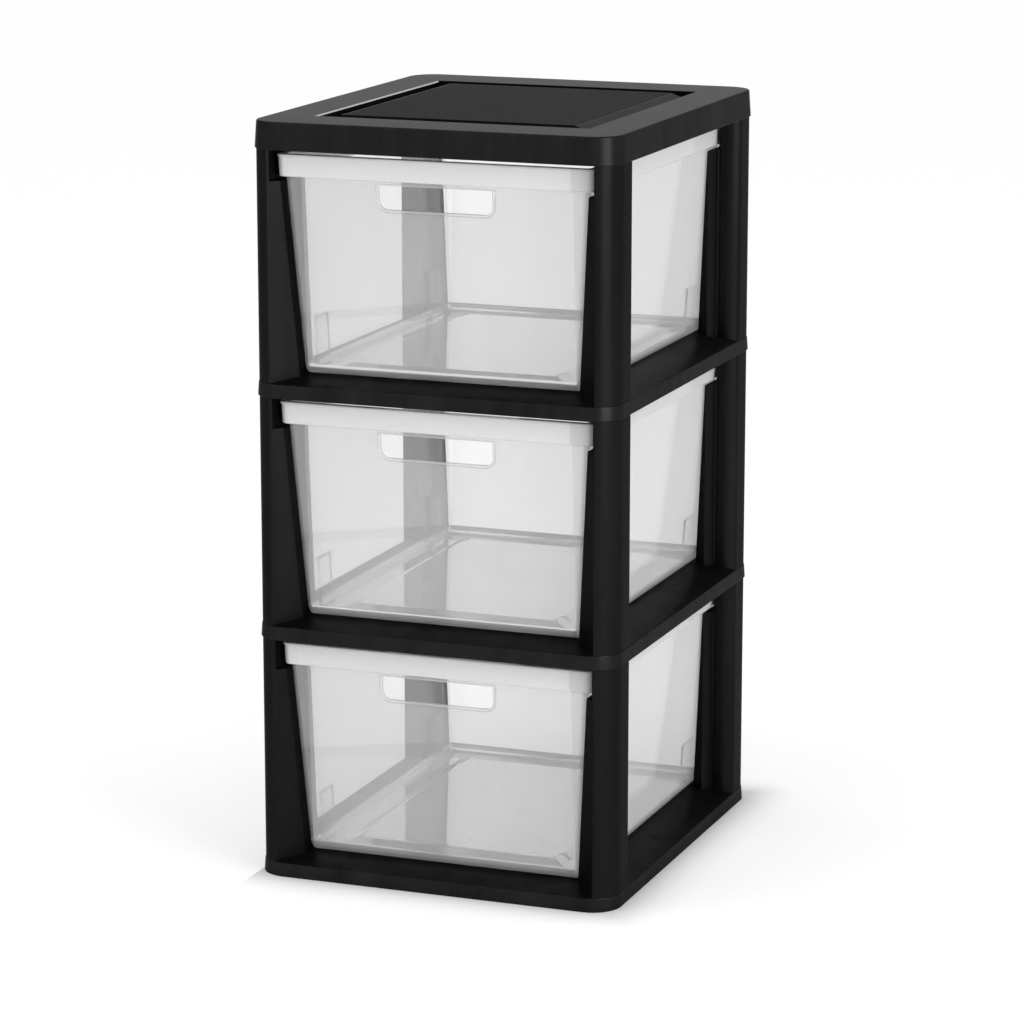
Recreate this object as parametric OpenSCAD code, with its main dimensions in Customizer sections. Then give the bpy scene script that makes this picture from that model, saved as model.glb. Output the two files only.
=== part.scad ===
// Three-drawer storage tower: snap-together black frame, clear drawers.
// Origin at the bottom centre, +X to the right, the front faces -Y, +Z up. Millimetres.
// A frame corner is drawn once, in (a, b): a is measured inward from the side face,
// b inward from the front or rear face.

/* [Overall] */
// Overall width, side to side
width = 320.7; // [280:0.1:360]
// Overall depth, front to back
depth = 377.8; // [340:0.1:420]
// Overall height
height = 641.4; // [560:0.1:720]
// Height of the top cover
cover_h = 23.1; // [20:0.1:30]
// Plan radius of the frame corners
corner_r = 25.5; // [20:0.5:30]

/* [Frames] */
// Height of the outer lip of a shelf or the base
lip_h = 12; // [10:0.5:16]
// Rise of the deck above the lip
deck_rise = 5.5; // [3:0.5:8]
// Distance from the lip to where the deck is level
deck_run = 30; // [24:1:36]
// Width of the side members of a frame
side_member = 60; // [52:1:66]
// Width of the front and rear members of a frame
end_member = 52; // [46:1:66]
// Corner radius of the frame opening
opening_r = 12; // [6:1:30]
// Reach of the solid corner blocks of a frame, from the side face
block_side = 66; // [62:1:80]
// Reach of the solid corner blocks of a frame, from the front or rear face
block_end = 72; // [66:1:90]
// Wall of the frame and cover mouldings
shell_t = 3; // [2:0.5:4]

/* [Posts] */
// Setback of the posts from the lips
post_inset = 1.2; // [0.6:0.1:2]
// Thickness of the column above the ledge
column_t = 18.4; // [16:0.5:19.5]
// Distance from the side face to the sharp front edge of a post
crease_a = 17.5; // [14:0.1:18]
// Where the flat side of a column ends and its round back begins
strip_end = 44.6; // [40:0.1:48]
// Distance from the ledge of the web to the drawer's rim band above it
ledge_drop = 3.5; // [1:0.1:8]
// Clearance between the slanted web and the drawer wall
web_gap = 0.8; // [0.8:0.1:2]
// Length of the pegs at both ends of a post
peg_h = 5.5; // [4:0.1:5.6]
// Clearance all round a peg in its socket
peg_fit = 0.2; // [0.1:0.05:0.4]
// Wall of the hollow posts
post_wall = 2.5; // [2:0.5:4]

/* [Drawers] */
// Distance from the side face to the drawer wall, at the drawer's floor
tub_side = 38.2; // [34:0.05:44]
// Distance from the front or rear face to the drawer wall, at the drawer's floor
tub_end = 28.8; // [24:0.1:34]
// Outward lean of the drawer walls, per millimetre of height
tub_lean = 0.0667; // [0.04:0.0001:0.09]
// Clearance between a drawer's rim and the frame above it
rim_gap = 5.8; // [4:0.1:16]
// Clearance between the drawer floor and the deck
glide_gap = 0.5; // [0.3:0.1:1]
// Drawer wall thickness
tub_t = 2; // [1.6:0.1:3]
// Plan radius of the drawer corners
tub_r = 6; // [5:0.5:12]
// Distance from the side face to the rim
rim_side = 20.9; // [20.2:0.1:25]
// Distance from the front or rear face to the rim
rim_end = 12; // [8:0.1:18]
// Height of the rim band
rim_h = 17; // [12:0.5:22]
// Raised middle of the drawer floor, height
plateau_h = 3.5; // [1.5:0.5:5]
// Raised middle of the drawer floor, distance from the walls
plateau_in = 22.5; // [16:0.5:30]
// Run of the slope round the raised middle of the drawer floor
plateau_run = 8.5; // [4:0.5:12]

/* [Handle opening] */
// Width of the finger opening
grip_w = 99; // [80:1:120]
// Height of the finger opening
grip_h = 20; // [16:0.5:26]
// Radius of its lower corners
grip_r = 7; // [6:0.5:14]
// Distance from its top edge to the rim
grip_drop = 3.8; // [2:0.1:8]
// Width of the raised bead round it
grip_bead = 2.2; // [1.5:0.1:4]

/* [Cover] */
// Width of the border at the sides of the cover
border_side = 40; // [30:0.5:45]
// Width of the border at the front and rear of the cover
border_end = 51; // [40:0.5:60]
// Run of the sloped flanks of the raised panel
flank_run = 18.5; // [12:0.5:26]
// Drop of the sloped flanks
flank_drop = 6.5; // [3:0.5:8]
// Width of the slots at the front and rear of the panel
slot_w = 16; // [8:0.5:18]
// Depth of those slots
slot_h = 9; // [6:0.5:11]

/* [Hidden] */
$fn = 64;
tier_pitch = (height - cover_h) / 3;
deck_z = lip_h + deck_rise;
floor_z = deck_z + glide_gap;
rim_top = tier_pitch - rim_gap;
rim_bottom = rim_top - rim_h;
ledge_z = rim_bottom - ledge_drop;
tub_h = rim_top - floor_z;
tub_w = width - 2 * tub_side;
tub_d = depth - 2 * tub_end;
rim_w = width - 2 * rim_side;
rim_d = depth - 2 * rim_end;
grip_top = rim_bottom - grip_drop;
post_r = corner_r - post_inset;
column_in = post_inset + column_t;
crease_b = corner_r - sqrt(post_r * post_r - pow(corner_r - crease_a, 2));
back_r = 16.7;
back_a = 14.5;
back_b = strip_end - sqrt(back_r * back_r - pow(back_a - post_inset, 2));
web_lean = 1;
web_tip = [39.7, crease_b + web_lean * (39.7 - crease_a)];
web_heel = [web_tip[0], 47];
web_knee = [25.5, 62.5];
peg_a = 5;
peg_b = 22;
peg_w = 10;
peg_d = 20;
peg_wall = 1.6;
corner_reach = web_knee[1] + 2;
corner_steps = 12;
foot_h = 3;
foot_bevel = 2.5;
lug_h = 41;
lug_d = 27;
lug_b = 50;
lug_t = 2.5;

// ---------------------------------------------------------------- helpers

module rounded_rect(w, d, r) {
  square([w - 2 * r, d], center = true);
  square([w, d - 2 * r], center = true);
  for (x = [-1, 1], y = [-1, 1])
    translate([x * (w / 2 - r), y * (d / 2 - r)]) circle(r);
}

// Moves corner coordinates (a, b) to the chosen corner of the tower.
module at_corner(left, front) {
  mirror([left ? 0 : 1, 0, 0])
    mirror([0, front ? 0 : 1, 0])
      translate([-width / 2, -depth / 2, 0])
        children();
}

module at_corners() {
  for (left = [true, false], front = [true, false])
    at_corner(left, front) children();
}

// ---------------------------------------------------------------- posts

// Plan of the column: round outer corner, flat side, round back.
module column_plan() {
  intersection() {
    union() {
      translate([corner_r, corner_r]) circle(post_r);
      translate([post_inset, corner_r]) square([column_t, strip_end - corner_r]);
      intersection() {
        translate([back_a, back_b]) circle(back_r);
        translate([post_inset, back_b]) square([column_t, 2 * back_r]);
      }
    }
    polygon([
      [post_inset, 0],
      [crease_a, 0],
      [crease_a, crease_b],
      [column_in, crease_b + web_lean * (column_in - crease_a)],
      [column_in, corner_reach],
      [post_inset, corner_reach]
    ]);
  }
}

// Distance of the web's inner face from the side face, at height z in the tier.
function web_a(z) = tub_side - tub_lean * (z - floor_z) - web_gap;

// Plan of the web, before it is cut off beside the drawer: a front face and a rear face.
module web_plan() {
  polygon([
    [crease_a, crease_b],
    web_tip,
    web_heel,
    web_knee,
    [column_in - 2, strip_end]
  ]);
}

// Upright wedge whose inner face stays t behind the web's face, from z0 to z1.
module web_slice(t, z0, z1) {
  translate([0, corner_reach, 0])
    rotate([90, 0, 0])
      linear_extrude(corner_reach)
        polygon([
          [crease_a, z0],
          [web_a(z0) - t, z0],
          [web_a(z1) - t, z1],
          [crease_a, z1]
        ]);
}

// Wedge that follows the leaning drawer wall and ends in a ledge under its rim.
module web() {
  intersection() {
    web_slice(0, lip_h, ledge_z);
    linear_extrude(tier_pitch) web_plan();
  }
}

// Hollow of the web, open at the foot of the post.
module web_hollow() {
  intersection() {
    web_slice(post_wall, lip_h - 1, ledge_z - post_wall);
    linear_extrude(tier_pitch)
      intersection() {
        translate([-0.8 * post_wall, 0.6 * post_wall]) web_plan();
        translate([-0.7 * post_wall, -0.7 * post_wall]) web_plan();
        translate([column_in + 0.3, 0]) square([corner_reach, corner_reach]);
      }
  }
}

module peg(grow, h) {
  translate([peg_a - grow, peg_b - grow, 0])
    cube([peg_w + 2 * grow, peg_d + 2 * grow, h]);
}

module post(tier, left, front) {
  color([0.055, 0.055, 0.06])
    translate([0, 0, tier * tier_pitch])
      at_corner(left, front)
        difference() {
          union() {
            translate([0, 0, lip_h]) linear_extrude(tier_pitch - lip_h) column_plan();
            web();
            translate([0, 0, lip_h - peg_h]) peg(0, peg_h + 1);
            translate([0, 0, tier_pitch - 1]) peg(0, peg_h + 1);
          }
          translate([0, 0, -1]) peg(-peg_wall, tier_pitch + lip_h);
          translate([post_inset + post_wall, peg_b - 4, lip_h + post_wall])
            cube([column_t - 2 * post_wall, peg_d + 5, tier_pitch - lip_h - 2 * post_wall]);
          web_hollow();
        }
}

// ---------------------------------------------------------------- frames

// Deck that rises from the lip to a level band, with mitred corners.
module deck() {
  intersection() {
    translate([-width / 2, 0, 0])
      rotate([90, 0, 90])
        linear_extrude(width)
          polygon([
            [-depth / 2 + shell_t / 2, lip_h - 1],
            [-depth / 2 + shell_t / 2, lip_h],
            [-depth / 2 + deck_run, deck_z],
            [depth / 2 - deck_run, deck_z],
            [depth / 2 - shell_t / 2, lip_h],
            [depth / 2 - shell_t / 2, lip_h - 1]
          ]);
    translate([0, depth / 2, 0])
      rotate([90, 0, 0])
        linear_extrude(depth)
          polygon([
            [-width / 2 + shell_t / 2, lip_h - 1],
            [-width / 2 + shell_t / 2, lip_h],
            [-width / 2 + deck_run, deck_z],
            [width / 2 - deck_run, deck_z],
            [width / 2 - shell_t / 2, lip_h],
            [width / 2 - shell_t / 2, lip_h - 1]
          ]);
    linear_extrude(deck_z + 1) rounded_rect(width - shell_t, depth - shell_t, corner_r - shell_t / 2);
  }
}

// Flat seat for a post, cut into the rising deck.
module seat() {
  translate([0, 0, lip_h])
    linear_extrude(deck_rise + 1)
      polygon([
        [-1, -1],
        [crease_a + 0.6, -1],
        [crease_a + 0.6, crease_b],
        [web_tip[0] + 0.8, web_tip[1]],
        [web_heel[0] + 0.8, web_heel[1]],
        [web_knee[0] + 0.6, web_knee[1] + 0.8],
        [column_in, back_b + back_r + 0.8],
        [-1, back_b + back_r + 0.8]
      ]);
}

// Hollow underneath one member, behind its lip and open to the middle of the frame.
// span is the frame's size across that member.
module member_hollow(length, span, member) {
  translate([-length / 2, -span / 2 + shell_t, -1])
    cube([length, member, lip_h - shell_t + 1]);
  translate([-length / 2, -span / 2 + deck_run, -1])
    cube([length, member, deck_z - shell_t + 1]);
}

module frame(posts_below) {
  color([0.055, 0.055, 0.06])
    difference() {
      union() {
        linear_extrude(lip_h) rounded_rect(width, depth, corner_r);
        deck();
      }
      translate([0, 0, -1])
        linear_extrude(deck_z + 2)
          rounded_rect(width - 2 * side_member, depth - 2 * end_member, opening_r);
      at_corners() {
        seat();
        translate([0, 0, lip_h - peg_h - 0.1]) peg(peg_fit, peg_h + 1);
        if (posts_below)
          translate([0, 0, -1]) peg(peg_fit, peg_h + 1.1);
      }
      for (side = [0, 1]) {
        mirror([0, side, 0]) member_hollow(width - 2 * block_side, depth, end_member);
        mirror([side, 0, 0]) rotate([0, 0, -90]) member_hollow(depth - 2 * block_end, width, side_member);
      }
    }
}

module base_frame() {
  frame(false);
}

module lower_shelf() {
  translate([0, 0, tier_pitch]) frame(true);
}

module upper_shelf() {
  translate([0, 0, 2 * tier_pitch]) frame(true);
}

// ---------------------------------------------------------------- cover

// Recess in the top of the cover: two deep slots and two sloped flanks round a level panel.
module cover_recess() {
  recess_w = width - 2 * border_side;
  recess_d = depth - 2 * border_end;
  translate([0, recess_d / 2, 0])
    rotate([90, 0, 0])
      linear_extrude(recess_d)
        for (side = [-1, 1])
          polygon([
            [side * recess_w / 2, cover_h - flank_drop],
            [side * recess_w / 2, cover_h + 1],
            [side * (recess_w / 2 - flank_run), cover_h + 1],
            [side * (recess_w / 2 - flank_run), cover_h]
          ]);
  for (side = [-1, 1])
    translate([-recess_w / 2, side * (recess_d / 2 - slot_w / 2) - slot_w / 2, cover_h - slot_h])
      cube([recess_w, slot_w, slot_h + 1]);
}

module top_cover() {
  panel_w = width - 2 * border_side;
  panel_d = depth - 2 * border_end;
  color([0.055, 0.055, 0.06])
    translate([0, 0, 3 * tier_pitch])
      difference() {
        linear_extrude(cover_h) rounded_rect(width, depth, corner_r);
        difference() {
          translate([0, 0, -1])
            linear_extrude(cover_h - shell_t + 1)
              rounded_rect(width - 2 * shell_t, depth - 2 * shell_t, corner_r - shell_t);
          translate([-panel_w / 2 - shell_t, -panel_d / 2 - shell_t, cover_h - slot_h - shell_t])
            cube([panel_w + 2 * shell_t, panel_d + 2 * shell_t, slot_h + shell_t]);
          at_corners() translate([0, 0, -2]) cube([24, 50, cover_h]);
        }
        translate([-panel_w / 2 + flank_run, -panel_d / 2 + slot_w + shell_t, -1])
          cube([panel_w - 2 * flank_run, panel_d - 2 * slot_w - 2 * shell_t, cover_h - shell_t + 1]);
        cover_recess();
        at_corners() translate([0, 0, -1]) peg(peg_fit, peg_h + 1.2);
      }
}

// ---------------------------------------------------------------- drawers

// Outline of a rounded rectangle, with corner_steps facets round each corner.
function rounded_points(w, d, r) = [
  for (quarter = [0:3], i = [0:corner_steps])
    let (
      turn = 90 * (quarter + i / corner_steps),
      x = quarter == 0 || quarter == 3 ? 1 : -1,
      y = quarter < 2 ? 1 : -1
    )
      [x * (w / 2 - r) + r * cos(turn), y * (d / 2 - r) + r * sin(turn)]
];

// Leaning tub body from z0 up through height h, drawn inward by inset.
module tub(inset, z0, h) {
  w = tub_w + 2 * tub_lean * z0 - 2 * inset;
  d = tub_d + 2 * tub_lean * z0 - 2 * inset;
  grow = 2 * tub_lean * h;
  translate([0, 0, z0])
    linear_extrude(height = h, scale = [(w + grow) / w, (d + grow) / d], slices = 1)
      polygon(rounded_points(w, d, tub_r - inset));
}

// Outside of the tub: the leaning body on a foot whose edge is bevelled.
module tub_shell() {
  foot_w = tub_w - 2 * foot_bevel;
  foot_d = tub_d - 2 * foot_bevel;
  tub(0, foot_h, tub_h - foot_h);
  linear_extrude(height = foot_h, scale = [tub_w / foot_w, tub_d / foot_d], slices = 1)
    polygon(rounded_points(foot_w, foot_d, tub_r - foot_bevel));
}

module rim() {
  translate([0, 0, tub_h - rim_h])
    difference() {
      linear_extrude(rim_h) rounded_rect(rim_w, rim_d, tub_r + tub_t);
      translate([0, 0, -1])
        linear_extrude(rim_h - tub_t + 1)
          rounded_rect(rim_w - 2 * tub_t, rim_d - 2 * tub_t, tub_r);
    }
}

// Outline of the finger opening, with round lower corners.
module grip_plan(grow) {
  w = grip_w + 2 * grow;
  r = grip_r + grow;
  intersection() {
    translate([-w / 2, 0]) square([w, grip_h + grow]);
    union() {
      translate([-w / 2, r]) square([w, 2 * grip_h]);
      translate([-w / 2 + r, 0]) square([w - 2 * r, 2 * grip_h]);
      for (x = [-1, 1]) translate([x * (w / 2 - r), r]) circle(r);
    }
  }
}

module grip(grow, b_from, b_to) {
  translate([0, -depth / 2 + b_to, grip_top - floor_z - grip_h - grow])
    rotate([90, 0, 0])
      linear_extrude(b_to - b_from) grip_plan(grow);
}

// Shallow stacking lugs on the inside of the side walls, near both ends.
module lugs() {
  intersection() {
    difference() {
      tub(0.5, 1, lug_h + 20);
      tub(tub_t + lug_t, 0, lug_h + 30);
    }
    for (x = [-1, 1], y = [-1, 1])
      translate([x * tub_w / 2 - 15, y * (depth / 2 - lug_b - lug_d / 2) - lug_d / 2, tub_t])
        cube([30, lug_d, lug_h]);
  }
}

module plateau_profile(foot) {
  polygon([
    [-foot, -1],
    [foot, -1],
    [foot, 0],
    [foot - plateau_run, plateau_h],
    [plateau_run - foot, plateau_h],
    [-foot, 0]
  ]);
}

// Raised middle of the floor: two crossed wedges, so its corners are mitred.
module plateau(z) {
  foot_x = tub_w / 2 - plateau_in;
  foot_y = tub_d / 2 - plateau_in;
  translate([0, 0, z])
    intersection() {
      translate([0, foot_y, 0]) rotate([90, 0, 0]) linear_extrude(2 * foot_y) plateau_profile(foot_x);
      translate([-foot_x, 0, 0]) rotate([90, 0, 90]) linear_extrude(2 * foot_x) plateau_profile(foot_y);
    }
}

module drawer(tier) {
  grip_b = tub_end - tub_lean * (grip_top - floor_z);
  color([0.86, 0.88, 0.9, 0.45])
    translate([0, 0, tier * tier_pitch + floor_z]) {
      difference() {
        union() {
          difference() {
            union() {
              tub_shell();
              rim();
              grip(grip_bead, grip_b - 1.8, grip_b + 4);
            }
            tub(tub_t, tub_t, tub_h);
          }
          plateau(tub_t);
          lugs();
        }
        grip(0, grip_b - 2 * grip_bead, tub_end + tub_t + 1);
        plateau(0);
      }
    }
}

// ---------------------------------------------------------------- nodes

top_cover();
upper_shelf();
lower_shelf();
base_frame();
post(2, true, true);  // post_top_front_left
post(2, false, true);  // post_top_front_right
post(2, true, false);  // post_top_rear_left
post(2, false, false);  // post_top_rear_right
post(1, true, true);  // post_middle_front_left
post(1, false, true);  // post_middle_front_right
post(1, true, false);  // post_middle_rear_left
post(1, false, false);  // post_middle_rear_right
post(0, true, true);  // post_bottom_front_left
post(0, false, true);  // post_bottom_front_right
post(0, true, false);  // post_bottom_rear_left
post(0, false, false);  // post_bottom_rear_right
drawer(2);  // drawer_top
drawer(1);  // drawer_middle
drawer(0);  // drawer_bottom
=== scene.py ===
"""Three-drawer storage tower: a snap-together black frame and clear drawers.

A corner of the tower is drawn once in (a, b): a is measured inward from the side face, b
inward from the front or rear face.
"""
import math

import bmesh
import bpy
import numpy as np
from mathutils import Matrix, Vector


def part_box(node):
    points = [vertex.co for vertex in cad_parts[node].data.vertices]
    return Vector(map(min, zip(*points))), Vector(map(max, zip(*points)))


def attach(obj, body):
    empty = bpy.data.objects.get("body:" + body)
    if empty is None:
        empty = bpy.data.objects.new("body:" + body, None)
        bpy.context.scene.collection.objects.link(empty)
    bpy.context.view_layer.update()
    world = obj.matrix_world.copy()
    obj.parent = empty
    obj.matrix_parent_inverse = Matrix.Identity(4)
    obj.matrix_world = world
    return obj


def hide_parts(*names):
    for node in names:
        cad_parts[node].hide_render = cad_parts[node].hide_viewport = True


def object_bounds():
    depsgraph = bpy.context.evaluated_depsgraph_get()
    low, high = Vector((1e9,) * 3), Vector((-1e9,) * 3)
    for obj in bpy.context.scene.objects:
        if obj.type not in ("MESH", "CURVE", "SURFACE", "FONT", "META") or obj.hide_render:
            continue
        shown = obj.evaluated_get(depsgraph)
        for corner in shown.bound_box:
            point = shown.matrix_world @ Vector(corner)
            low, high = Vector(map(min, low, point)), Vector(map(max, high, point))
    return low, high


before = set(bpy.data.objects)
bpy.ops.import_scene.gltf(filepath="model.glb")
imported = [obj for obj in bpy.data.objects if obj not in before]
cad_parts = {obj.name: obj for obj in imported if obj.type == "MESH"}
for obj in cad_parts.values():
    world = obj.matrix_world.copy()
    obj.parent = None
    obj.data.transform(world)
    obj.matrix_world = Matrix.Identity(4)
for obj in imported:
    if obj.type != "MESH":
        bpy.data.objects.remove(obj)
cad_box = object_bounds()

# ---------------------------------------------------------------- sizes

MM = 0.001
WELD = 1e-6  # metres within which points become one


def box_mm(node):
    """Lowest and highest corner of a CAD node in millimetres."""
    return [np.round(np.array(corner) / MM, 2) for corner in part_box(node)]


# Whole tower
WIDTH, DEPTH, HEIGHT = np.round((np.array(cad_box[1]) - np.array(cad_box[0])) / MM, 2)
TIERS = {"bottom": "base_frame", "middle": "lower_shelf", "top": "upper_shelf"}
TIER_Z = {tier: box_mm(node)[0][2] for tier, node in TIERS.items()}
TIER_PITCH = TIER_Z["middle"] - TIER_Z["bottom"]
CORNER_R = 25.5
CORNER_STEPS = 7
LEAST_R = 0.6  # corner radius of the innermost rows
SHELL = 3.0  # wall of the frames
EASE = 0.4  # rounding of a frame's lower edge

# Base and shelves
LIP_H = 12.0
LIP_FLARE = 0.7
LIP_EASE = [(0.0, -1.0), (0.3, -0.3), (1.0, 0.0)]  # (inset past the flare, height from the top)
DECK_Z = box_mm("base_frame")[1][2]
DECK_RUN = 30.0
SIDE_MEMBER = 60.0
END_MEMBER = 52.0
OPENING_R = 12.0
OPENING_EASE = [(1.0, 0.0), (0.3, 0.3), (0.0, 1.0)]  # (outset, drop)
BLOCK_SIDE = 66.0
BLOCK_END = 72.0
BLOCK_WALL = 0.5  # half the run of a corner block's inner wall

# Posts
POST_INSET = 1.2
POST_R = CORNER_R - POST_INSET
COLUMN_IN = 19.6
COLUMN_BACK = (24.0, 44.0)  # where a bare column leaves the web's line, as b
CREASE_A = 17.5
CREASE_B = CORNER_R - math.sqrt(POST_R**2 - (CORNER_R - CREASE_A) ** 2)
STRIP_END = 44.6
BACK_CENTRE = np.array([14.5, 34.5])
BACK_R = 16.7
WEB_LEAN = 1.0
WEB_HEEL = np.array([39.7, 47.0])
WEB_KNEE = np.array([25.5, 62.5])
WEB_GAP = 0.8
WEB_ROWS = 6
LEDGE_Z = 179.8
LEDGE_ROWS = [(-0.3, 0.965), (0.0, 0.90), (0.0, 0.04), (0.8, 0.0)]  # (height, share of the web)
PEG_LOW = np.array([5.0, 22.0])
PEG_HIGH = np.array([15.0, 42.0])
PEG_H = 5.5

# Drawers
DRAWER_LOW, DRAWER_HIGH = box_mm("drawer_bottom")
FLOOR_Z = DRAWER_LOW[2]
TUB_H = DRAWER_HIGH[2] - FLOOR_Z
RIM_W, RIM_D = (DRAWER_HIGH - DRAWER_LOW)[:2]
TUB_SIDE_IN = 38.2
TUB_END_IN = 28.8
TUB_W = WIDTH - 2 * TUB_SIDE_IN
TUB_D = DEPTH - 2 * TUB_END_IN
TUB_LEAN = 0.0667
TUB_T = 2.0
TUB_R = 6.0
RIM_H = 17.0
RIM_FOOT = TUB_H - RIM_H
RIM_RISE = 1.5  # closes most of the gap under the frame above
RIM_TOP = TUB_H + RIM_RISE
RIM_DRAFT = 1.6
FLANGE = 0.9
FLANGE_H = 2.4
FOOT_R = 4.0
FOOT_STEPS = 5
PLATEAU_IN = 22.5
PLATEAU_RUN = 8.5
PLATEAU_H = 3.5
PLATEAU_R = 0.8
LUG_B = 50.0
LUG_D = 27.0
LUG_TOP = 43.0
LUG_T = 2.5
LUG_MARKS = np.array([-1.2, -0.4, 0.4, 1.2])  # lines of points across a lug's edge
LUG_LINE = 0.5  # half the width of a lug's outline
# Heights of the rows of points in a wall; the patch with the finger opening has the last ones
PATCH_Z = [136.0, 141.0, 146.0, 151.0, 156.0, 160.0, 163.6]
WALL_Z = np.array([5.0, 8.6, 9.0, 12.0, *(LUG_TOP + LUG_MARKS), 70.0, 100.0, 128.0, *PATCH_Z])

# Tones of a drawer's points; four values are for the front, right, rear and left
# The dark tones here are painted: shade, and the black frame as it would show through the plastic
# at its feet, floor edge, rear foot and lug outlines
FOOT_PAINTED_DARK = (0.45, 0.30, 0.30, 0.30)
FOOT_FROST = (0.3, 0.3, 0.0, 0.3)
PLATEAU_FOOT_PAINTED_DARK = (0.50, 0.10, 0.0, 0.10)
PLATEAU_SLOPE_FROST = 0.5
PLATEAU_EDGE_PAINTED_DARK = 0.30
REAR_PAINTED_DARK = (0.0, 0.0, 2.0, 0.0)
RIM_FROST = 0.9
UPRIGHT_FROST = 0.6
UPRIGHT_SPREAD = 1.6  # how soon round an upright corner its frost is full
LUG_FROST = 0.35
LUG_PAINTED_DARK = 0.6

# Finger opening, in a patch of the drawer's front wall
PATCH_HALF = 55.0
PATCH_MID = 150.0  # height at which the places along the wall are set out
PATCH_LINES = 10
GRIP_W = 99.0
GRIP_H = 20.0
GRIP_R = 7.0
GRIP_TOP = RIM_FOOT - 3.8
GRIP_UPRIGHT = 0.136  # share of the opening's outline that each side of the patch meets
GRIP_BEAD = 2.2
BEAD_RISE = 1.8
BEAD_FADE = 3.0  # the bead rises over this height below the opening's top
BEAD_ROWS = [  # (outset, share of the rise, frost, painted dark)
    (GRIP_BEAD + 0.7, 0.0, 0.0, 0.0),
    (GRIP_BEAD + 0.1, 0.15, 0.0, 0.9),
    (GRIP_BEAD - 0.4, 0.8, 0.2, 0.3),
    (GRIP_BEAD - 0.9, 1.0, 0.5, 0.0),
    (0.7, 1.0, 0.5, 0.0),
    (0.25, 0.8, 1.0, 0.0),
    (0.0, 0.3, 1.0, 0.0),
]

# Cover
COVER_Z = box_mm("top_cover")[0][2]
COVER_FLARE = 1.4
BORDER_SIDE = 40.0
BORDER_END = 51.0
RECESS_X = WIDTH / 2 - BORDER_SIDE
RECESS_Y = DEPTH / 2 - BORDER_END
FLANK_RUN = 18.5
FLANK_DROP = 6.5
SLOT_W = 16.0
SLOT_H = 9.0
SLOT_EDGE = np.array([0.0, 0.25, 0.9])  # lines of points beside a slot's edge
PANEL_X = RECESS_X - FLANK_RUN
PANEL_Y = RECESS_Y - SLOT_W
PANEL_EASE = 0.25  # how far the panel's long edges drop
CHAMFER = 1.1
COVER_BLOCK = (24.0, 50.0)

# ---------------------------------------------------------------- mesh helpers


class Skin:
    """Grids of points in millimetres that are joined into one mesh. Each point may carry two tones,
    which the clear plastic reads: frost, how milky it is, and painted dark, a painted shade and the
    black frame painted as it would show through the plastic, which makes it show dark."""

    def __init__(self):
        self.points = []
        self.tones = []
        self.faces = []
        self.count = 0

    def grid(self, rows, keep=None, wrap=True, tones=None):
        """Quads between neighbouring rows and columns; wrap closes each row into a loop.
        keep is a mask of quads. Returns the numbers of the points, one row each."""
        n_rows, n_columns = rows.shape[:2]
        index = self.count + np.arange(n_rows * n_columns).reshape(n_rows, n_columns)
        self.points.append(rows.reshape(-1, 3))
        self.tones.append(np.zeros((index.size, 2)) if tones is None else tones.reshape(-1, 2))
        self.count += index.size
        loop = np.concatenate([index, index[:, :1]], 1) if wrap else index
        quads = np.stack([loop[:-1, :-1], loop[:-1, 1:], loop[1:, 1:], loop[1:, :-1]], -1)
        quads = quads.reshape(-1, 4) if keep is None else quads[keep]
        self.faces += quads.tolist()
        return index

    def cap(self, loop):
        """One face inside a loop of points."""
        self.faces.append(loop.tolist())

    def piece(self, name, material, body, slot, crease=32):
        """The mesh as an object that rides on a body and stands for the CAD node of its name.
        Edges sharper than crease degrees stay sharp, and large faces shade flat."""
        mesh = bpy.data.meshes.new(name)
        mesh.from_pydata((np.concatenate(self.points) * MM).tolist(), [], self.faces)
        for tone, values in zip(("frost", "painted_dark"), np.concatenate(self.tones).T):
            mesh.attributes.new(tone, "FLOAT", "POINT").data.foreach_set("value", values)
        work = bmesh.new()
        work.from_mesh(mesh)
        bmesh.ops.remove_doubles(work, verts=work.verts, dist=WELD)
        bmesh.ops.dissolve_degenerate(work, edges=work.edges, dist=WELD)
        bmesh.ops.recalc_face_normals(work, faces=work.faces)
        work.to_mesh(mesh)
        work.free()
        mesh.shade_smooth()
        mesh.set_sharp_from_angle(angle=math.radians(crease))
        mesh.materials.append(material)
        piece = bpy.data.objects.new(name, mesh)
        bpy.context.scene.collection.objects.link(piece)
        flats = piece.modifiers.new("flats", "WEIGHTED_NORMAL")
        flats.keep_sharp = True
        flats.weight = 100
        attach(piece, body)
        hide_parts(name)
        return piece


def half_side(half, r):
    """Half a side of a rounded rectangle along its outline: the straight part, half - r, and
    an eighth of the corner's circle, r pi / 4."""
    return half - r + r * math.pi / 4


def stations(half, r, marks=(), step=24.0):
    """Places along one side of a rounded rectangle, from -1 to just under 1: even steps on the
    straight, finer ones round the corner, and the given marks in millimetres from the middle."""
    span = half_side(half, r)
    straight = np.linspace(0, half - r, max(2, math.ceil((half - r) / step)))
    corner = np.linspace(half - r, span, CORNER_STEPS)
    places = np.unique(np.round(np.concatenate([straight, corner, marks]) / span, 6))
    return np.concatenate([-places[::-1], places[1:-1]])


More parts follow.
